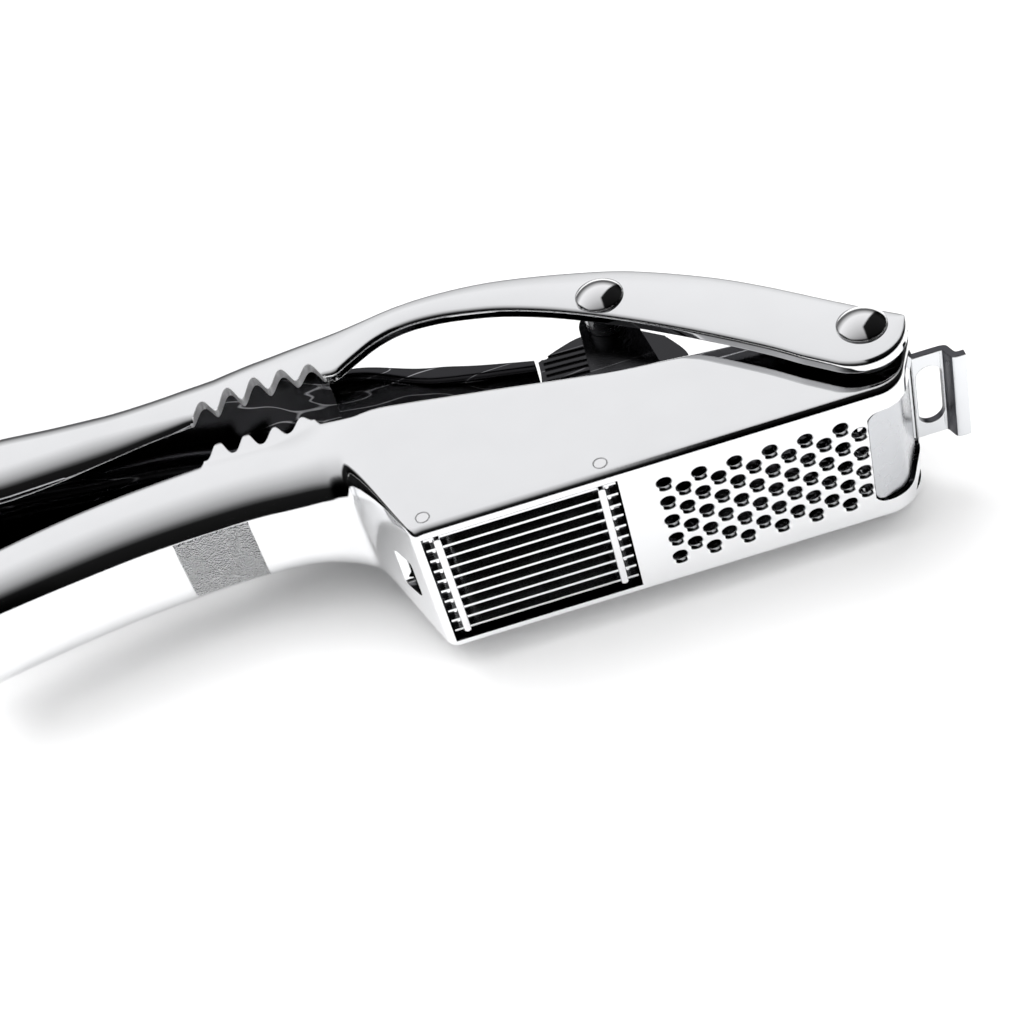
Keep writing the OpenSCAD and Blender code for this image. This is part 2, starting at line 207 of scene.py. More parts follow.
def finish_mesh(bm, name, sharp=32):
    """An object made from bm, with every face turned outwards."""
    bmesh.ops.recalc_face_normals(bm, faces=bm.faces[:])
    if bm.calc_volume(signed=True) < 0:
        bmesh.ops.reverse_faces(bm, faces=bm.faces[:])
    mesh = bpy.data.meshes.new(name)
    bm.to_mesh(mesh)
    bm.free()
    obj = bpy.data.objects.new(name, mesh)
    bpy.context.scene.collection.objects.link(obj)
    shade(obj, sharp)
    return obj


def shade(obj, sharp=32):
    """Smooth shading, with a crease where faces meet at more than sharp degrees."""
    obj.data.shade_smooth()
    obj.data.set_sharp_from_angle(angle=math.radians(sharp))


def ring_of(lo, hi, half_w, r_lo, r_hi, pillow=0.0, crown=0.0, rim=None):
    """(y, z) points round a section: a rounded rectangle whose sides, up to rim, bow out a little."""
    rim = hi if rim is None else rim
    room = min((rim - lo) / 2, half_w) * 0.98
    r_lo, r_hi = min(r_lo, room), min(r_hi, room)
    half = []
    for t in np.linspace(0, 1, 7)[:-1]:
        half.append((lo, t * (half_w - r_lo)))
    for a in np.radians(np.linspace(-90, 0, 11)):
        half.append((lo + r_lo + r_lo * math.sin(a), half_w - r_lo + r_lo * math.cos(a)))
    for t in np.linspace(0, 1, 15)[1:-1]:
        half.append((lo + r_lo + t * (hi - r_hi - lo - r_lo), half_w))
    for a in np.radians(np.linspace(0, 90, 11)):
        half.append((hi - r_hi + r_hi * math.sin(a), half_w - r_hi + r_hi * math.cos(a)))
    for t in np.linspace(1, 0, 7)[1:]:
        half.append((hi, t * (half_w - r_hi)))
    mid, tall = (lo + rim) / 2, (rim - lo) / 2
    ring = half + [(y, -z) for y, z in half[-2:0:-1]]
    bowed = []
    for y, z in ring:
        u, v = min(1.0, (y - mid) / max(tall, 1e-6)), z / half_w
        bowed.append((mid + (y - mid) * (1 - crown * v * v / max(tall, 1e-6)),
                      z * (1 - pillow * u * u / half_w)))
    return bowed


def loft(name, stations, widen=None):
    """Skins rings of (y, z) points at the stations' x; widen(x, y) scales a point's z."""
    bm = bmesh.new()
    rings = []
    for x, ring in stations:
        verts = []
        for y, z in ring:
            share = widen(x, y) if widen else 1.0
            verts.append(bm.verts.new(point(x, y, z * share)))
        rings.append(verts)
    count = len(rings[0])
    for a, b in zip(rings, rings[1:]):
        for i in range(count):
            j = (i + 1) % count
            bm.faces.new((a[i], a[j], b[j], b[i]))
    bm.faces.new(rings[0])
    bm.faces.new(rings[-1])
    return finish_mesh(bm, name)


def bridge(bm, near, far):
    """Closes two matching rings of vertices into a solid: two caps and the sides between them."""
    bm.faces.new(near)
    bm.faces.new(far)
    for i in range(len(near)):
        j = (i + 1) % len(near)
        bm.faces.new((near[i], near[j], far[j], far[i]))


def prism(name, outline, half_w, z=0.0):
    """An (x, y) outline carried across, from z - half_w to z + half_w."""
    bm = bmesh.new()
    near = [bm.verts.new(point(x, y, z - half_w)) for x, y in outline]
    far = [bm.verts.new(point(x, y, z + half_w)) for x, y in outline]
    bridge(bm, near, far)
    return finish_mesh(bm, name)


def upright(name, outline, y0, y1):
    """An (x, z) outline carried up, from y0 to y1."""
    bm = bmesh.new()
    low = [bm.verts.new(point(x, y0, z)) for x, z in outline]
    high = [bm.verts.new(point(x, y1, z)) for x, z in outline]
    bridge(bm, low, high)
    return finish_mesh(bm, name)


def rounded(x0, x1, z0, z1, r, n=6):
    """A rectangle with round corners."""
    corners = [((x1 - r, z0 + r), -90), ((x1 - r, z1 - r), 0),
               ((x0 + r, z1 - r), 90), ((x0 + r, z0 + r), 180)]
    return [tuple(p) for c, a in corners for p in arc(c, r, a, a + 90, n)]


def turned_solid(bm, profile, origin, axis, steps=48):
    """Turns a profile of (radius, height) pairs, from axis point to axis point, about a line."""
    axis = Vector(axis)
    side = axis.orthogonal().normalized()
    other = axis.cross(side)
    rings = []
    for r, h in profile:
        if r < 1e-6:
            rings.append([bm.verts.new(origin + axis * h * MM)])
            continue
        rings.append([bm.verts.new(origin + (axis * h + (side * math.cos(a) + other * math.sin(a)) * r)
                                   * MM) for a in np.linspace(0, 2 * math.pi, steps + 1)[:-1]])
    for a, b in zip(rings, rings[1:]):
        for i in range(steps):
            j = (i + 1) % steps
            if len(a) == 1:
                bm.faces.new((a[0], b[j], b[i]))
            elif len(b) == 1:
                bm.faces.new((a[i], a[j], b[0]))
            else:
                bm.faces.new((a[i], a[j], b[j], b[i]))


def combine(obj, others, operation="DIFFERENCE"):
    """Cuts the other solids out of obj, or joins them to it, and removes them."""
    for other in others:
        mod = obj.modifiers.new("cut", "BOOLEAN")
        mod.operation = operation
        mod.solver = "MANIFOLD"
        mod.object = other
        bpy.context.view_layer.update()
        made = bpy.data.meshes.new_from_object(obj.evaluated_get(bpy.context.evaluated_depsgraph_get()))
        obj.modifiers.clear()
        old = obj.data
        obj.data = made
        bpy.data.meshes.remove(old)
        bpy.data.objects.remove(other, do_unlink=True)
    obj.data.name = obj.name
    shade(obj)
    return obj


def soften(obj, width, sharp=32):
    """Small round edges, as real geometry."""
    mod = obj.modifiers.new("edges", "BEVEL")
    mod.width = width * MM
    mod.segments = 3
    mod.limit_method = "ANGLE"
    mod.angle_limit = math.radians(sharp)
    mod.harden_normals = True
    mod.miter_outer = "MITER_ARC"
    return obj


# ---------------------------------------------------------------- materials

def node(tree, kind, **values):
    """A new shader node; each value sets the input of that name, or else the setting."""
    made = tree.nodes.new(kind)
    for key, value in values.items():
        if key in made.inputs:
            made.inputs[key].default_value = value
        else:
            setattr(made, key, value)
    return made


def metal(name, colour, rough, rough_spread=0.04, grain=0.015, edge=0.35, dent=0.02, scale=90.0,
          stretch=(1, 1, 1), metallic=1.0, wear=0.5):
    """Plated or ground metal: uneven polish, a faint waviness, fine grain and worn edges."""
    mat = bpy.data.materials.new(name)
    mat.use_nodes = True
    tree = mat.node_tree
    tree.nodes.clear()
    link = tree.links.new
    out = node(tree, "ShaderNodeOutputMaterial")
    shader = node(tree, "ShaderNodeBsdfPrincipled", Metallic=metallic)
    link(shader.outputs["BSDF"], out.inputs["Surface"])
    coords = node(tree, "ShaderNodeTexCoord")
    mapping = node(tree, "ShaderNodeMapping")
    mapping.inputs["Scale"].default_value = stretch
    link(coords.outputs["Object"], mapping.inputs["Vector"])
    cloudy = node(tree, "ShaderNodeTexNoise", Scale=scale, Detail=3.0, Roughness=0.55)
    fine = node(tree, "ShaderNodeTexNoise", Scale=scale * 28, Detail=4.0, Roughness=0.6)
    for tex in (cloudy, fine):
        link(mapping.outputs["Vector"], tex.inputs["Vector"])

    corner = node(tree, "ShaderNodeBevel", samples=4)
    corner.inputs["Radius"].default_value = edge * MM
    place = node(tree, "ShaderNodeNewGeometry")
    same = node(tree, "ShaderNodeVectorMath", operation="DOT_PRODUCT")
    link(corner.outputs["Normal"], same.inputs[0])
    link(place.outputs["Normal"], same.inputs[1])
    worn = node(tree, "ShaderNodeMapRange")
    worn.inputs["From Min"].default_value = 1.0
    worn.inputs["From Max"].default_value = 0.85
    link(same.outputs["Value"], worn.inputs["Value"])

    rough_of = node(tree, "ShaderNodeMapRange")
    rough_of.inputs["From Min"].default_value = 0.3
    rough_of.inputs["From Max"].default_value = 0.7
    rough_of.inputs["To Min"].default_value = rough
    rough_of.inputs["To Max"].default_value = rough + rough_spread
    link(cloudy.outputs["Fac"], rough_of.inputs["Value"])
    rough_worn = node(tree, "ShaderNodeMath", operation="MULTIPLY_ADD")
    rough_worn.inputs[1].default_value = 0.08 * wear
    link(worn.outputs["Result"], rough_worn.inputs[0])
    link(rough_of.outputs["Result"], rough_worn.inputs[2])
    link(rough_worn.outputs["Value"], shader.inputs["Roughness"])

    tint = node(tree, "ShaderNodeMix", data_type="RGBA")
    tint.inputs["A"].default_value = (*[c * 0.94 for c in colour], 1)
    tint.inputs["B"].default_value = (*colour, 1)
    link(cloudy.outputs["Fac"], tint.inputs["Factor"])
    bright = node(tree, "ShaderNodeMix", data_type="RGBA")
    bright.inputs["B"].default_value = (*[min(1, c * 1.06) for c in colour], 1)
    link(worn.outputs["Result"], bright.inputs["Factor"])
    link(tint.outputs["Result"], bright.inputs["A"])
    link(bright.outputs["Result"], shader.inputs["Base Color"])

    wavy = node(tree, "ShaderNodeBump", Strength=dent, Distance=0.001)
    link(cloudy.outputs["Fac"], wavy.inputs["Height"])
    link(corner.outputs["Normal"], wavy.inputs["Normal"])
    grained = node(tree, "ShaderNodeBump", Strength=grain, Distance=0.0002)
    link(fine.outputs["Fac"], grained.inputs["Height"])
    link(wavy.outputs["Normal"], grained.inputs["Normal"])
    link(grained.outputs["Normal"], shader.inputs["Normal"])
    return mat


def frosted(mat, x_range, y_below, z_range, strength=1.0):
    """Adds a rough sparkling patch on the back of the lower handle."""
    tree = mat.node_tree
    link = tree.links.new
    shader = next(n for n in tree.nodes if n.type == "BSDF_PRINCIPLED")
    coords = node(tree, "ShaderNodeTexCoord")
    split = node(tree, "ShaderNodeSeparateXYZ")
    link(coords.outputs["Object"], split.inputs["Vector"])
    steps = []
    lo, hi = ((x - FACE_L / 2) * MM for x in x_range)
    for axis, place, sign in (("X", lo, 1), ("X", hi, -1), ("Y", y_below * MM, -1),
                              ("Z", z_range[0] * MM, 1), ("Z", z_range[1] * MM, -1)):
        step = node(tree, "ShaderNodeMapRange")
        step.inputs["From Min"].default_value = place - sign * 0.0002
        step.inputs["From Max"].default_value = place + sign * 0.0002
        link(split.outputs[axis], step.inputs["Value"])
        steps.append(step.outputs["Result"])
    mask = steps[0]
    for step in steps[1:]:
        both = node(tree, "ShaderNodeMath", operation="MULTIPLY")
        link(mask, both.inputs[0])
        link(step, both.inputs[1])
        mask = both.outputs["Value"]
    sand = node(tree, "ShaderNodeTexVoronoi", Scale=2600.0)
    link(coords.outputs["Object"], sand.inputs["Vector"])
    height = node(tree, "ShaderNodeMath", operation="MULTIPLY")
    link(sand.outputs["Distance"], height.inputs[0])
    link(mask, height.inputs[1])
    bump = node(tree, "ShaderNodeBump", Strength=strength, Distance=0.001)
    link(height.outputs["Value"], bump.inputs["Height"])
    link(shader.inputs["Normal"].links[0].from_socket, bump.inputs["Normal"])
    link(bump.outputs["Normal"], shader.inputs["Normal"])
    rough = node(tree, "ShaderNodeMath", operation="MULTIPLY_ADD")
    rough.inputs[1].default_value = 0.22
    link(mask, rough.inputs[0])
    link(shader.inputs["Roughness"].links[0].from_socket, rough.inputs[2])
    link(rough.outputs["Value"], shader.inputs["Roughness"])


def painted_highlight_streaks(mat, strength):
    """Adds thin bright wandering lines to the base colour: painted highlights, as of light streaking
    inside a plated channel.
    """
    tree = mat.node_tree
    link = tree.links.new
    shader = next(n for n in tree.nodes if n.type == "BSDF_PRINCIPLED")
    coords = node(tree, "ShaderNodeTexCoord")
    mapping = node(tree, "ShaderNodeMapping")
    mapping.inputs["Scale"].default_value = (0.1, 1, 1)
    link(coords.outputs["Object"], mapping.inputs["Vector"])
    lines = node(tree, "ShaderNodeTexNoise", Scale=190.0, Detail=1.0, Distortion=0.1)
    link(mapping.outputs["Vector"], lines.inputs["Vector"])
    away = node(tree, "ShaderNodeMath", operation="SUBTRACT")
    away.inputs[1].default_value = 0.52
    link(lines.outputs["Fac"], away.inputs[0])
    size = node(tree, "ShaderNodeMath", operation="ABSOLUTE")
    link(away.outputs["Value"], size.inputs[0])
    narrow = node(tree, "ShaderNodeMapRange")
    narrow.inputs["From Max"].default_value = 0.012
    narrow.inputs["To Min"].default_value = strength
    narrow.inputs["To Max"].default_value = 0.0
    link(size.outputs["Value"], narrow.inputs["Value"])
    # painted highlight: light grey lines mixed into the base colour
    highlight_paint = node(tree, "ShaderNodeMix", data_type="RGBA")
    highlight_paint.inputs["B"].default_value = (0.6, 0.6, 0.62, 1)
    link(narrow.outputs["Result"], highlight_paint.inputs["Factor"])
    link(shader.inputs["Base Color"].links[0].from_socket, highlight_paint.inputs["A"])
    link(highlight_paint.outputs["Result"], shader.inputs["Base Color"])


def plastic(name, colour):
    return metal(name, colour, 0.42, rough_spread=0.15, grain=0.12, dent=0.05, metallic=0.0)


CHROME = metal("polished_chrome", (0.90, 0.905, 0.915), 0.035, dent=0.012)
frosted(CHROME, (-46, -31), 27, (-8.5, 7.2))
# Near-black chrome for the insides: painted shade, with painted highlight streaks.
SHADE_CHROME = metal("recess_painted_shade", (0.035, 0.035, 0.038), 0.09, rough_spread=0.08, grain=0.05, dent=0.1)
painted_highlight_streaks(SHADE_CHROME, 0.75)
RIVET = metal("rivet_chrome", (0.92, 0.92, 0.93), 0.04, dent=0.01, scale=160)
# Near-black pusher metal: painted shade and dark reflection inside the lever, with painted highlight
# streaks.
SHADE_CASTING = metal("pusher_casting", (0.045, 0.045, 0.048), 0.13, rough_spread=0.1, grain=0.08, dent=0.1)
painted_highlight_streaks(SHADE_CASTING, 0.3)
STEEL = metal("turned_steel", (0.62, 0.63, 0.64), 0.2, rough_spread=0.1, grain=0.06,
              stretch=(1, 1, 8))
BLADE = metal("ground_steel", (0.86, 0.87, 0.88), 0.14, rough_spread=0.08, grain=0.08,
              stretch=(0.06, 1, 1), edge=0.1)
RAIL = metal("rail_steel", (0.88, 0.88, 0.89), 0.12, dent=0.02)
TAB = metal("tab_steel", (0.80, 0.81, 0.83), 0.07, dent=0.02)
# Dark faces on the tab's edges and step: painted shade lines.
TAB_SHADE = metal("tab_edge_painted_shade", (0.10, 0.10, 0.11), 0.25, rough_spread=0.15, grain=0.1)
# Pale half-metallic finish for the notch rims: a painted highlight.
NOTCH_HIGHLIGHT = metal("notch_painted_highlight", (0.9, 0.9, 0.91), 0.28, rough_spread=0.1, grain=0.05, metallic=0.55)
# Sunk end panel: satin is its finish, its darker grey partly painted shade.
PANEL = metal("satin_panel_painted_shade", (0.60, 0.61, 0.63), 0.24, rough_spread=0.08, grain=0.05)
BLACK = plastic("washer_plastic", (0.035, 0.035, 0.04))


def paint(obj, *mats):
    obj.data.materials.clear()
    for mat in mats:
        obj.data.materials.append(mat)


def paint_by_place(obj, index_of):
    """Picks each face's material by the place of its middle and the places that it looks at."""
    for face in obj.data.polygons:
        normal = face.normal
        x, y, z = face.center.x / MM + FACE_L / 2, face.center.y / MM, face.center.z / MM

        def looks_at(to_x, to_y):
            return normal.x * (to_x - x) + normal.y * (to_y - y) - normal.z * z > 0

        face.material_index = int(index_of(x, y, abs(z), looks_at))


# ---------------------------------------------------------------- castings

def stations_between(lower, step):
    """x places along a casting: even steps, and closer ones towards the round ends."""
    x0, x1 = lower[0][0], lower[-1][0]
    ends = [9 * (1 - math.cos(a)) for a in np.linspace(0.03, math.pi / 2, 26)]
    xs = set(np.round(np.arange(x0 + 9, x1 - 9, step), 3))
    xs |= {round(x0 + e, 4) for e in ends} | {round(x1 - e, 4) for e in ends}
    return sorted(xs)


def end_round(x, x0, r):
    """How far the side draws in near the grip's end."""
    d = x - x0
    if d >= r:
        return 0.0
    return r - math.sqrt(max(0.0, r * r - (r - d) ** 2))


def upper_width(x):
    """Half width of the upper lever, from its grip to the fork."""
    return between(GRIP_HALF_W, FORK_OUT, (x + 55) / 67) - end_round(x, UPPER_END_X, GRIP_ROUND)


def upper_casting():
    """Forked upper lever: channel grip, cracker notches and a central spine."""
    outline = np.concatenate([UPPER_CROWN, UPPER_RIM, FORK_UNDER, FORK_END])
    lower, upper = split_chains(outline)
    low, high = height_of(lower), height_of(upper)
    stations = []
    for x in stations_between(lower, 0.7):
        r_back = between(8.5, 1.2, (x + 44) / 60)
        r_rim = between(5.5, 1.0, (x + 62) / 34)
        stations.append((x, ring_of(low(x), high(x), upper_width(x), r_rim, r_back, 0.35, 0.4)))
    body = loft("upper_lever", stations)

    cavity, mouth = [], []
    for x in np.arange(-95.5, -6.9, 1.0):
        roof = max(high(x) - BACK_T, 56) if x > -92 else 62 + (x + 96) * 1.4
        wide = upper_width(x) - CHANNEL_T
        lip = between(2.6, 0.05, (x + 78) / 38)
        cavity.append((x, ring_of(low(x) + lip, roof, wide, between(3, 1, (x + 78) / 38),
                                  between(6, 2, (x + 44) / 36))))
        mouth.append((x, ring_of(30, low(x) + 4, wide - between(2.4, 0, (x + 78) / 38), 0.5, 0.5)))
    edge = [(x, upper_width(x) - FORK_T) for x in np.arange(-8, 40, 1.0)] + [(140, FORK_OUT - FORK_T)]
    gap = upright("fork_gap", edge + [(x, -w) for x, w in reversed(edge)], -20, 90)
    notch_line = [(-38.6, 40), (-38.4, 51.6)] + NOTCHES + [(-8.3, 46.9), (-8.1, 40)]
    notches = prism("notches", notch_line, 30)
    combine(body, [loft("cavity", cavity), loft("mouth", mouth), gap, notches])

    roof_line = spline([(-9.5, 59.4), (-5, 59.6), (2, 58.9), (12, 56.9), (21, 53.5), (31.9, 49.9)])
    under_line = spline([(-9.5, 57), (0, 55.4), (16, 50.2), (31.9, 46.2)])
    roof, under = height_of(roof_line), height_of(under_line)
    bar = [(x, ring_of(under(x), roof(x), between(9, 5, (x + 6) / 18), 1.6, 1.4))
           for x in np.linspace(-9.5, 31.9, 40)]
    combine(body, [loft("spine", bar)], "UNION")
    paint(body, CHROME, SHADE_CHROME, NOTCH_HIGHLIGHT)
    notch_height = height_of(NOTCHES)

    # Index 1 is painted shade, on faces that look into the channel and on the fork's inner faces.
    def finish_of(x, y, z, looks_at):
        if x > -8.1:
            return z < upper_width(x) - 0.9 * FORK_T
        if looks_at(x, 0.5 * (low(x) + high(x)) + 1):
            return 1
        # index 2: notch rims, painted highlight
        on_notch = -38 < x < -8.4 and z < upper_width(x) - 0.3 and y < notch_height(x) + 0.4
        return 2 if on_notch else 0

    paint_by_place(body, finish_of)
    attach(body, "handle")
    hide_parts("upper_handle")


def neck_share(x, y):
    """How far the neck has widened to the hopper, from 0 to 1; the crease leans like the end wall."""
    crease = 2.3 - 0.174 * y
    u = min(1.0, max(0.0, (x + 24) / (crease + 24)))
    return u * u * (1.9 - 0.9 * u)


def lower_width(x, y=20):
    """Half width of the lower lever, its neck and the hopper."""
    wide = GRIP_HALF_W + (HALF_W - GRIP_HALF_W) * neck_share(x, y)
    return wide - end_round(x, LOWER_END_X, GRIP_ROUND)


def body_casting():
    """Hopper and lower lever in one: chambers, teeth, window, holes and sunk panel."""
    foot = arc((1.2, 1.9), 1.9, 205.6, 270, 8)
    outline = np.concatenate([
        foot, hopper_end(100), LOWER_TOP, LOWER_TOOTH_TOP, LOWER_RIM,
        arc((-91, 24.4), 7, 110, 250), LOWER_BACK,
    ])
    lower, upper = split_chains(outline)
    low, high = height_of(lower), height_of(upper)
    rim = height_of(np.concatenate([LOWER_TOP, LOWER_RIM]))
    stations = []
    for x in sorted(set(stations_between(lower, 0.6)) | {float(p[0]) for p in foot}):
        r_back = between(8.8, 1.6, (x + 9) / 10.5)
        r_rim = between(2.0, 0.8, (x + 40) / 36)
        pillow = between(0.3, 0.0, (x + 24) / 20)
        stations.append((x, ring_of(low(x), high(x), lower_width(x), r_back, r_rim, pillow,
                                    rim=rim(x))))
    body = loft("hopper_and_lower_lever", stations,
                lambda x, y: lower_width(x, y) / lower_width(x))

    floor = height_of(LOWER_BACK + [0, BACK_T])
    inner = []
    for x in np.arange(-91, -6.7, 1.0):
        base = floor(x) if x < -13 else between(25.4, 29, (x + 13) / 6)
        base = max(base, 21.5) if x < -88 else base
        wide = lower_width(x, 38) - CHANNEL_T
        inner.append((x, ring_of(base, 80, wide, between(6, 2, (x + 34) / 30), 0.5)))
    channel = loft("lower_channel", inner)

    tooth_line = [(-37.6, 60), (-37.4, 41.0)] + LOWER_TEETH + [(-12.4, 39.7), (-12.2, 60)]
    gaps = prism("tooth_gaps", tooth_line, 30)
    x0, x1 = SLICER_X
    slicer = prism("slicer_chamber", [(x0, -1), (x0, 1), (-4.4, 13), (-4.4, 90),
                                      (DIVIDER_X[0], 90), (DIVIDER_X[0], FLOOR_T),
                                      (x1, FLOOR_T), (x1, -1)], CHAMBER_HALF_W)
    mincing = prism("mincing_chamber",
                    [(DIVIDER_X[1], 90), (DIVIDER_X[1], FLOOR_T), (FACE_L - END_WALL_T, FLOOR_T),
                     *arc(HINGE, BOSS_R - END_WALL_T, -50, 10), (HINGE[0] + 6, 90)], CHAMBER_HALF_W)
    divider_top = prism("divider_top", [(39, DIVIDER_TOP), (44, DIVIDER_TOP), (44, 90), (39, 90)],
                        CHAMBER_HALF_W)
    end_top = prism("end_top", [(FACE_L, END_WALL_TOP), (101, END_WALL_TOP), (101, 90), (FACE_L, 90)],
                    CHAMBER_HALF_W)
    window = upright_window()
    combine(body, [channel, gaps, slicer, mincing, divider_top, end_top, window,
                   *end_recess(), mincing_holes(), pin_holes(), tab_slot()])
    paint(body, CHROME, SHADE_CHROME, PANEL)

    # Index 1 is painted shade, on faces inside the channel, the chambers, the window and the panel's
    # groove.
    def finish_of(x, y, z, looks_at):
        if x < -6.5:
            return looks_at(x, high(x) - 3) and x > -90.5
        if x > PANEL_X and z < PANEL_HALF_W + 0.01 and y < 11.5:
            depth = panel_depth(x, y)
            if depth > 0.08:
                # index 2: the panel, its grey partly painted shade; index 1: its groove, painted shade
                return 2 if depth < panel_sink(x) + 0.12 and z < PANEL_HALF_W - 0.02 else 1
        in_chamber = z < CHAMBER_HALF_W + 0.1 and y > FLOOR_T - 0.1
        return in_chamber and looks_at(min(max(x, 2), 86), 19)

    paint_by_place(body, finish_of)
    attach(body, "hopper")
    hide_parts("body_casting")


def panel_sink(x):
    """Depth of the sunk end panel, which curves away from the face sooner than the casting."""
    return between(0.15, 0.95, (x - PANEL_X) / 5)


def panel_depth(x, y):
    """How far a place lies inside the hinge-side end of the hopper."""
    corner = FACE_L - x, CORNER_R - y
    if x < FACE_L:
        return y
    if math.atan2(corner[1], -corner[0]) > math.radians(LEAN):
        return CORNER_R - math.hypot(*corner)
    return BOSS_R - math.hypot(x - HINGE[0], y - HINGE[1])


def end_recess():
    """Cutters for the sunk panel round the hinge-side corner and the groove that outlines it."""
    line = np.concatenate([[(x, 0) for x in np.linspace(PANEL_X, FACE_L, 8)[:-1]],
                           hopper_end(-12)])
    after = np.gradient(line, axis=0)
    inward = np.stack([-after[:, 1], after[:, 0]], 1) / np.linalg.norm(after, axis=1)[:, None]
    outer = line - inward
    cutters = []
    for extra, r, name in ((0.0, 2.4, "panel"), (0.45, 2.7, "outline")):
        sink = np.array([panel_sink(x) + extra for x, _ in line])[:, None]
        grow = 0.3 if extra else 0.0
        solid = prism(name, [*outer, *(line + inward * sink)[::-1]], PANEL_HALF_W)
        corners = upright("corners", rounded(PANEL_X - grow, 130, -PANEL_HALF_W + 0.3 - grow,
                                             PANEL_HALF_W - 0.3 + grow, r), -3, 60)
        combine(solid, [corners], "INTERSECT")
        cutters.append(solid)
    core = upright("core", rounded(PANEL_X + 0.1, 130, -PANEL_HALF_W + 0.4, PANEL_HALF_W - 0.4, 2.3),
                   -4, 61)
    combine(cutters[1], [core])
    return cutters


def upright_window():
    """The small round-cornered window through the leaning end wall."""
    bm = bmesh.new()
    outline = rounded(4.6, 9.8, -5, 5, 1.2)
    left = [bm.verts.new(point(-12, y, z)) for y, z in outline]
    right = [bm.verts.new(point(3, y, z)) for y, z in outline]
    bridge(bm, left, right)
    return finish_mesh(bm, "end_window")


def mincing_holes():
    """Cutter for the rows of holes, each with a rounded rim."""
    bm = bmesh.new()
    r, sink = HOLE_R, 0.6
    for column in range(HOLE_COLUMNS):
        rows = 5 if column % 2 == 0 else 4
        for row in range(rows):
            z = (row - (rows - 1) / 2) * ROW_PITCH
            origin = point(HOLE_X0 + column * COLUMN_PITCH, 0, z)
            profile = [(0, -0.5), (r + sink + 0.35, -0.5), (r + sink + 0.05, 0.0),
                       (r + 0.3, 0.22), (r + 0.05, 0.55), (r, 0.9), (r, 3), (0, 3)]
            turned_solid(bm, profile, origin, (0, 1, 0), 32)
    return finish_mesh(bm, "mincing_holes")


def pin_holes():
    """Cutter for the holes of the two cross pins."""
    bm = bmesh.new()
    for x in PIN_XS:
        turned_solid(bm, [(0, -20), (PIN_R + 0.08, -20), (PIN_R + 0.08, 20), (0, 20)],
                     point(x, PIN_Y, 0), (0, 0, 1), 40)
    return finish_mesh(bm, "pin_holes")


def tab_slot():
    """Cutter for the slot that holds the opener tab."""
    return prism("tab_slot", [(93.4, 11.85), (103, 11.85), (103, 13.55), (93.4, 13.55)], 10.75)


# ---------------------------------------------------------------- small parts

def dome(head_r=4.8, head_h=2.2, lip=0.3, steps=14):
    """Profile of a domed rivet head above its plate, from the rim to the top."""
    rise = head_h - lip
    dome_r = (head_r ** 2 + rise ** 2) / (2 * rise)
    start = math.asin(head_r / dome_r)
    profile = [(head_r - 0.12, 0.0), (head_r, 0.14), (head_r, lip - 0.12)]
    for a in np.linspace(start * 0.985, 0, steps):
        profile.append((dome_r * math.sin(a), head_h - dome_r + dome_r * math.cos(a)))
    profile[-1] = (0.0, head_h)
    return profile


def hinge_rivet(name, side, cad):
    bm = bmesh.new()
    shaft = [(0, CHAMBER_HALF_W - FORK_OUT), (2.6, CHAMBER_HALF_W - FORK_OUT),
             (RIVET_R, CHAMBER_HALF_W - FORK_OUT + 0.4), (RIVET_R, 0.0)]
    turned_solid(bm, shaft + dome(), point(*HINGE, side * FORK_OUT), (0, 0, side), 64)
    rivet = finish_mesh(bm, name, 40)
    paint(rivet, RIVET)
    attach(rivet, "hopper")
    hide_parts(cad)


def pusher_rivet():
    bm = bmesh.new()
    near = [(r, h + FORK_OUT) for r, h in dome()]
    far = [(r, -h - FORK_OUT) for r, h in dome()][::-1]
    turned_solid(bm, far + [(RIVET_R, -FORK_OUT), (RIVET_R, FORK_OUT)] + near,
                 point(*PUSHER_AXIS), (0, 0, 1), 64)
    rivet = finish_mesh(bm, "long_rivet", 40)
    paint(rivet, RIVET)
    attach(rivet, "handle")
    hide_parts("pusher_rivet")


def blades():
    """Ten thin blades, each with a ground edge towards the pusher."""
    bm = bmesh.new()
    x0, x1 = SLICER_X[0] + BLADE_END_GAP, SLICER_X[1] - BLADE_END_GAP
    (y0, y1), half = BLADE_Y, BLADE_T / 2
    section = [(y0, -half), (y0, half), (y1 - 1.3, half), (y1, 0.05), (y1, -0.05), (y1 - 1.3, -half)]
    for i in range(BLADE_COUNT):
        z = (i - (BLADE_COUNT - 1) / 2) * BLADE_PITCH
        left = [bm.verts.new(point(x0, y, z + dz)) for y, dz in section]
        right = [bm.verts.new(point(x1, y, z + dz)) for y, dz in section]
        bridge(bm, left, right)
    piece = finish_mesh(bm, "blade_set", 20)
    paint(piece, BLADE)
    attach(piece, "hopper")
    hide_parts(*[f"slicer_blade_{i + 1}" for i in range(BLADE_COUNT)])


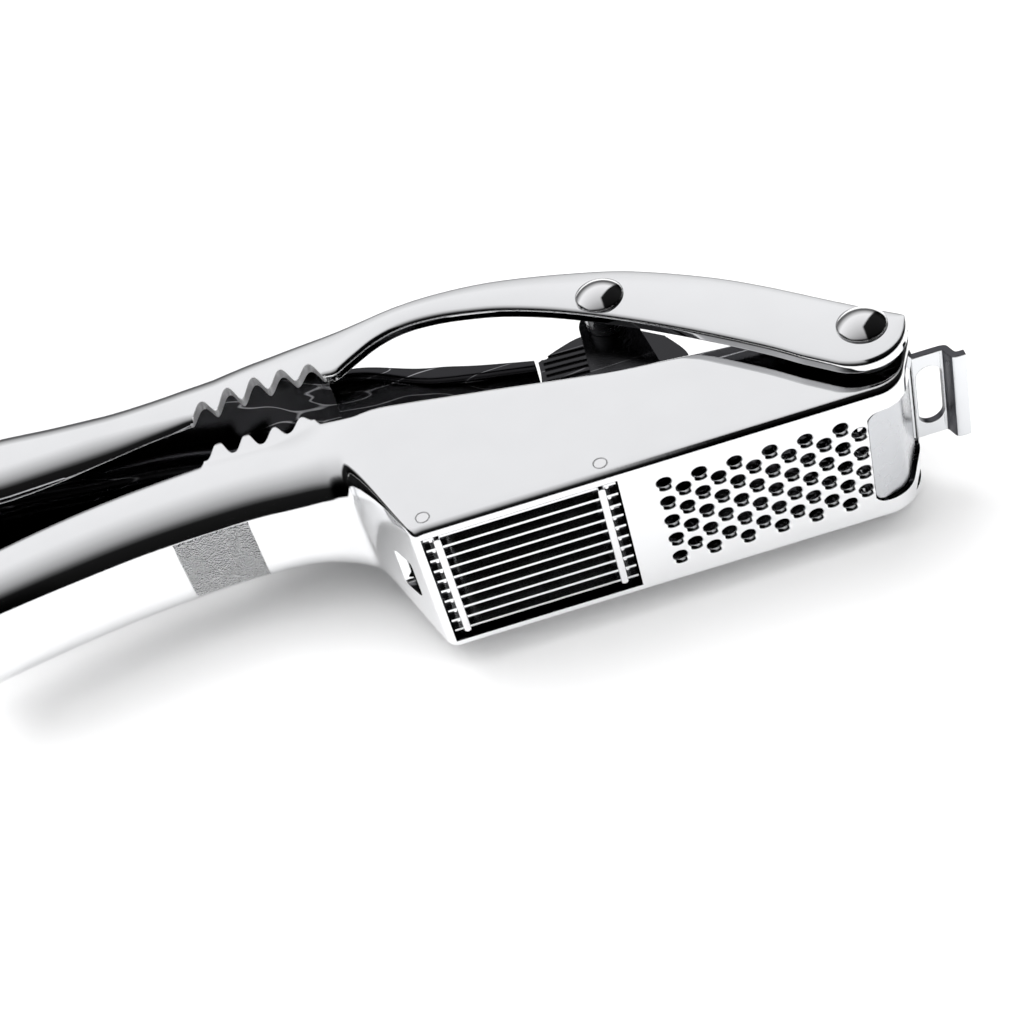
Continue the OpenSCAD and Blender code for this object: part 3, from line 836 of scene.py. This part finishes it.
def opener_tab():
    """Bent steel tab: flat root, a step down and a lip, with a round-ended slot."""
    top = spline([(94.4, 13.4), (103.6, 13.4), (105.2, 13.3), (106.1, 12.9), (106.6, 11.6),
                  (107.0, 10.7), (107.6, 10.5), (108.6, 10.5)], 6)
    under = spline([(108.6, 9.1), (107.0, 9.1), (106.0, 9.4), (105.5, 10.4), (105.1, 11.6),
                    (104.6, 12.0), (103.4, 12.0), (94.4, 12.0)], 6)
    tab = prism("bent_tab", [*top, *under], TAB_HALF_W)
    slot_line = [tuple(p) for p in arc((102, 4.9), 2.6, 0, 180, 14)]
    slot_line += [tuple(p) for p in arc((102, -4.9), 2.6, 180, 360, 14)]
    combine(tab, [upright("slot", slot_line, 8, 16)])
    tab_lip = point(108, 0).x
    paint(tab, TAB, TAB_SHADE)
    # edge and step faces short of the lip get the painted shade
    for face in tab.data.polygons:
        face.material_index = int(abs(face.normal.y) < 0.8 and face.center.x < tab_lip)
    soften(tab, 0.22)
    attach(tab, "hopper")
    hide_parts("opener_tab")


def blade_comb(name, pin_x, side):
    """A bar with a wavy inner edge, painted near-black as shade, and a bright rail across the blades on
    the face side.
    """
    near = pin_x - side * 1.4
    far = near + side * 3.95
    wave = [(far + side * 0.35 * math.cos(2 * math.pi * z / BLADE_PITCH), z)
            for z in np.linspace(-14.5, 14.5, 121)]
    bar = upright(name + "_bar", [(near, -14.5), *wave, (near, 14.5)], 2.2, 5.6)
    soften(bar, 0.15)
    # painted shade on the comb bar
    paint(bar, SHADE_CHROME)
    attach(bar, "hopper")
    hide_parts(name)
    a, b = sorted((near + side * 1.9, near + side * 3.3))
    rail = upright(name + "_rail", rounded(a, b, -13.4, 13.4, 0.69), 0.35, 2.3)
    soften(rail, 0.2)
    paint(rail, RAIL)
    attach(rail, "hopper")


def stored(points):
    """Brings an (x, y) outline of the pusher from its closed place to the pose shown."""
    axis = rotated([PUSHER_AXIS], HINGE, CLOSE_ANGLE)[0]
    return rotated(rotated(points, axis, TILT_RATIO * CLOSE_ANGLE), HINGE, -CLOSE_ANGLE)


def pusher_carrier():
    """Rocker with a wide beam, a ribbed hump on the rivet and a cheek at each side."""
    axis = rotated([PUSHER_AXIS], HINGE, CLOSE_ANGLE)[0]
    top, half_w = 13.5, 14.2
    beam = prism("rocker", stored([(8, 10), (7, 12.5), (9, 13.5), (70, 13.5), (78, 11), (78, 10)]),
                 half_w)
    hump_line = np.concatenate([[(axis[0] + 13.6, top - 1)],
                                spline([axis + [13, -10], axis + [14.4, -4], axis + [11, 2.9]], 6),
                                arc(axis, 9, 45, 95),
                                spline([axis + [-2.8, 9.1], axis + [-6.6, 8.7], axis + [-10.8, 6.9],
                                        axis + [-15, 4.6]], 6),
                                [axis + [-15, 1.2], (28, top - 1)]])
    hump = prism("hump", stored(hump_line), 4.5)
    cheek_line = np.concatenate([[(axis[0] + 10.4, top - 1)], arc(axis, 5.4, 0, 180),
                                 [(axis[0] - 5.4, top - 1)]])
    cheeks = [prism("cheek", stored(cheek_line), 1.1, side * (half_w - 1.1)) for side in (-1, 1)]
    combine(beam, [hump, *cheeks], "UNION")
    grooves = []
    for level in range(6):
        y = axis[1] - 4 + level * 1.8
        line = [(axis[0] - 14, y), (axis[0] - 2, y), (axis[0] - 2, y + 0.8), (axis[0] - 14, y + 0.8)]
        grooves += [prism("groove", stored(line), 0.5, side * 4.5) for side in (-1, 1)]
    bm = bmesh.new()
    turned_solid(bm, [(0, -20), (3.05, -20), (3.05, 20), (0, 20)], point(*PUSHER_AXIS), (0, 0, 1))
    combine(beam, grooves + [finish_mesh(bm, "rivet_bore")])
    # the near-black finish is painted shade
    paint(beam, SHADE_CASTING)
    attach(beam, "pusher")
    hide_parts("pusher_carrier")


def dress_cad():
    """The CAD nodes whose shape is already right keep it and get their finish."""
    looks = {"hinge_washers": BLACK, "pusher_spacers": STEEL, "pusher_screws": STEEL,
             # the pushers take the painted shade metal
             "slicer_pusher": SHADE_CASTING, "mincing_pusher": SHADE_CASTING,
             "blade_pin_left": RIVET, "blade_pin_right": RIVET}
    for name, mat in looks.items():
        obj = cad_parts[name]
        for spot in obj.material_slots:
            spot.material = mat


# ---------------------------------------------------------------- studio

def studio():
    """A pale floor under the press."""
    floor_z = CAD_BOX[0].z - 0.0002
    bm = bmesh.new()
    bmesh.ops.create_grid(bm, x_segments=8, y_segments=8, size=4.0)
    floor = finish_mesh(bm, "studio_floor")
    floor.location.z = floor_z
    mat = bpy.data.materials.new("pale_floor")
    mat.use_nodes = True
    tree = mat.node_tree
    shader = tree.nodes["Principled BSDF"]
    shader.inputs["Base Color"].default_value = (0.93, 0.93, 0.93, 1)
    shader.inputs["Specular IOR Level"].default_value = 0.1
    speck = node(tree, "ShaderNodeTexNoise", Scale=40.0, Detail=2.0)
    spread = node(tree, "ShaderNodeMapRange")
    spread.inputs["To Min"].default_value = 0.75
    spread.inputs["To Max"].default_value = 0.95
    tree.links.new(speck.outputs["Fac"], spread.inputs["Value"])
    tree.links.new(spread.outputs["Result"], shader.inputs["Roughness"])
    paint(floor, mat)


def sky():
    """Soft studio: black low in front, grey overhead, light high behind, dark right and far left."""
    world = bpy.data.worlds.new("studio")
    bpy.context.scene.world = world
    world.use_nodes = True
    tree = world.node_tree
    tree.nodes.clear()
    link = tree.links.new
    out = node(tree, "ShaderNodeOutputWorld")
    light = node(tree, "ShaderNodeBackground", Strength=1.0)
    link(light.outputs["Background"], out.inputs["Surface"])
    coords = node(tree, "ShaderNodeTexCoord")
    split = node(tree, "ShaderNodeSeparateXYZ")
    link(coords.outputs["Generated"], split.inputs["Vector"])

    def calc(operation, *values):
        made = node(tree, "ShaderNodeMath", operation=operation)
        for slot, value in enumerate(values):
            if isinstance(value, (int, float)):
                made.inputs[slot].default_value = value
            else:
                link(value, made.inputs[slot])
        return made.outputs["Value"]

    def ramp(source, a, b):
        made = node(tree, "ShaderNodeMapRange", interpolation_type="SMOOTHSTEP")
        made.inputs["From Min"].default_value = a
        made.inputs["From Max"].default_value = b
        link(source, made.inputs["Value"])
        return made.outputs["Result"]

    x, y, z = (split.outputs[k] for k in "XYZ")
    swing = calc("DIVIDE", calc("ARCTAN2", z, calc("MULTIPLY", y, -1.0)), math.pi)
    tone = node(tree, "ShaderNodeValToRGB")
    stops = [(0, 0.006), (40, 0.010), (50, 0.10), (66, 0.36), (88, 0.58), (112, 0.76), (132, 0.90),
             (144, 0.95), (158, 0.50), (168, 0.16), (180, 0.10)]
    ramp_keys = tone.color_ramp.elements
    while len(ramp_keys) < len(stops):
        ramp_keys.new(0.5)
    for key, (angle, level) in zip(ramp_keys, stops):
        key.position = angle / 180
        key.color = (level, level, level * 1.01, 1)
    link(swing, tone.inputs["Fac"])
    lean = calc("SUBTRACT", calc("MULTIPLY", calc("SUBTRACT", x, y), 0.565), calc("MULTIPLY", z, 0.152))
    right = calc("MULTIPLY", ramp(lean, -0.19, -0.14), ramp(x, 0.02, 0.10))
    left = calc("MULTIPLY", ramp(x, -0.78, -0.88), ramp(z, 0.62, 0.50))
    dark = calc("MAXIMUM", right, left)
    keep = calc("SUBTRACT", 1.0, calc("MULTIPLY", dark, 0.985))
    shaded = node(tree, "ShaderNodeMix", data_type="RGBA", blend_type="MULTIPLY")
    shaded.inputs["Factor"].default_value = 1.0
    link(tone.outputs["Color"], shaded.inputs["A"])
    link(keep, shaded.inputs["B"])
    link(shaded.outputs["Result"], light.inputs["Color"])


def lamp(name, place, aim, size, power):
    data = bpy.data.lights.new(name, "AREA")
    data.shape = "RECTANGLE"
    data.size, data.size_y = size
    data.energy = power
    obj = bpy.data.objects.new(name, data)
    bpy.context.scene.collection.objects.link(obj)
    obj.location = place
    obj.rotation_mode = "QUATERNION"
    obj.rotation_quaternion = (Vector(aim) - Vector(place)).to_track_quat("-Z", "Y")
    obj.visible_glossy = False


def camera():
    """The photograph's camera, as an azimuth, an elevation and a roll about the press."""
    azimuth, elevation, roll, distance = 0.43, 45.6, -17.3, 0.407
    aim = Vector((-0.0258, 0.0230, -0.0085))
    a, e = math.radians(azimuth), math.radians(elevation)
    back = Vector((math.sin(a) * math.cos(e), -math.cos(a) * math.cos(e), math.sin(e)))
    right = Vector((math.cos(a), math.sin(a), 0))
    up = back.cross(right)
    turn = math.radians(roll)
    level = right * math.cos(turn) + up * math.sin(turn)
    stand = back.cross(level)
    data = bpy.data.cameras.new("camera")
    data.lens = 72.07
    data.sensor_width = 36
    data.clip_start, data.clip_end = 0.01, 20
    cam = bpy.data.objects.new("camera", data)
    bpy.context.scene.collection.objects.link(cam)
    cam.matrix_world = Matrix((
        (level.x, stand.x, back.x, aim.x + back.x * distance),
        (level.y, stand.y, back.y, aim.y + back.y * distance),
        (level.z, stand.z, back.z, aim.z + back.z * distance),
        (0, 0, 0, 1),
    ))
    bpy.context.scene.camera = cam


upper_casting()
body_casting()
hinge_rivet("hinge_rivet_head_near", 1, "hinge_rivet_near")
hinge_rivet("hinge_rivet_head_far", -1, "hinge_rivet_far")
pusher_rivet()
pusher_carrier()
blades()
blade_comb("blade_comb_left", PIN_XS[0], 1)
blade_comb("blade_comb_right", PIN_XS[1], -1)
opener_tab()
dress_cad()
studio()
sky()
lamp("key", (-0.5, 0.4, 1.6), (0, 0.0, 0), (1.6, 1.6), 26)
lamp("fill", (0.6, -0.9, 1.4), (0, 0.0, 0), (1.8, 1.8), 26)
camera()
bpy.context.scene.view_settings.view_transform = "Standard"
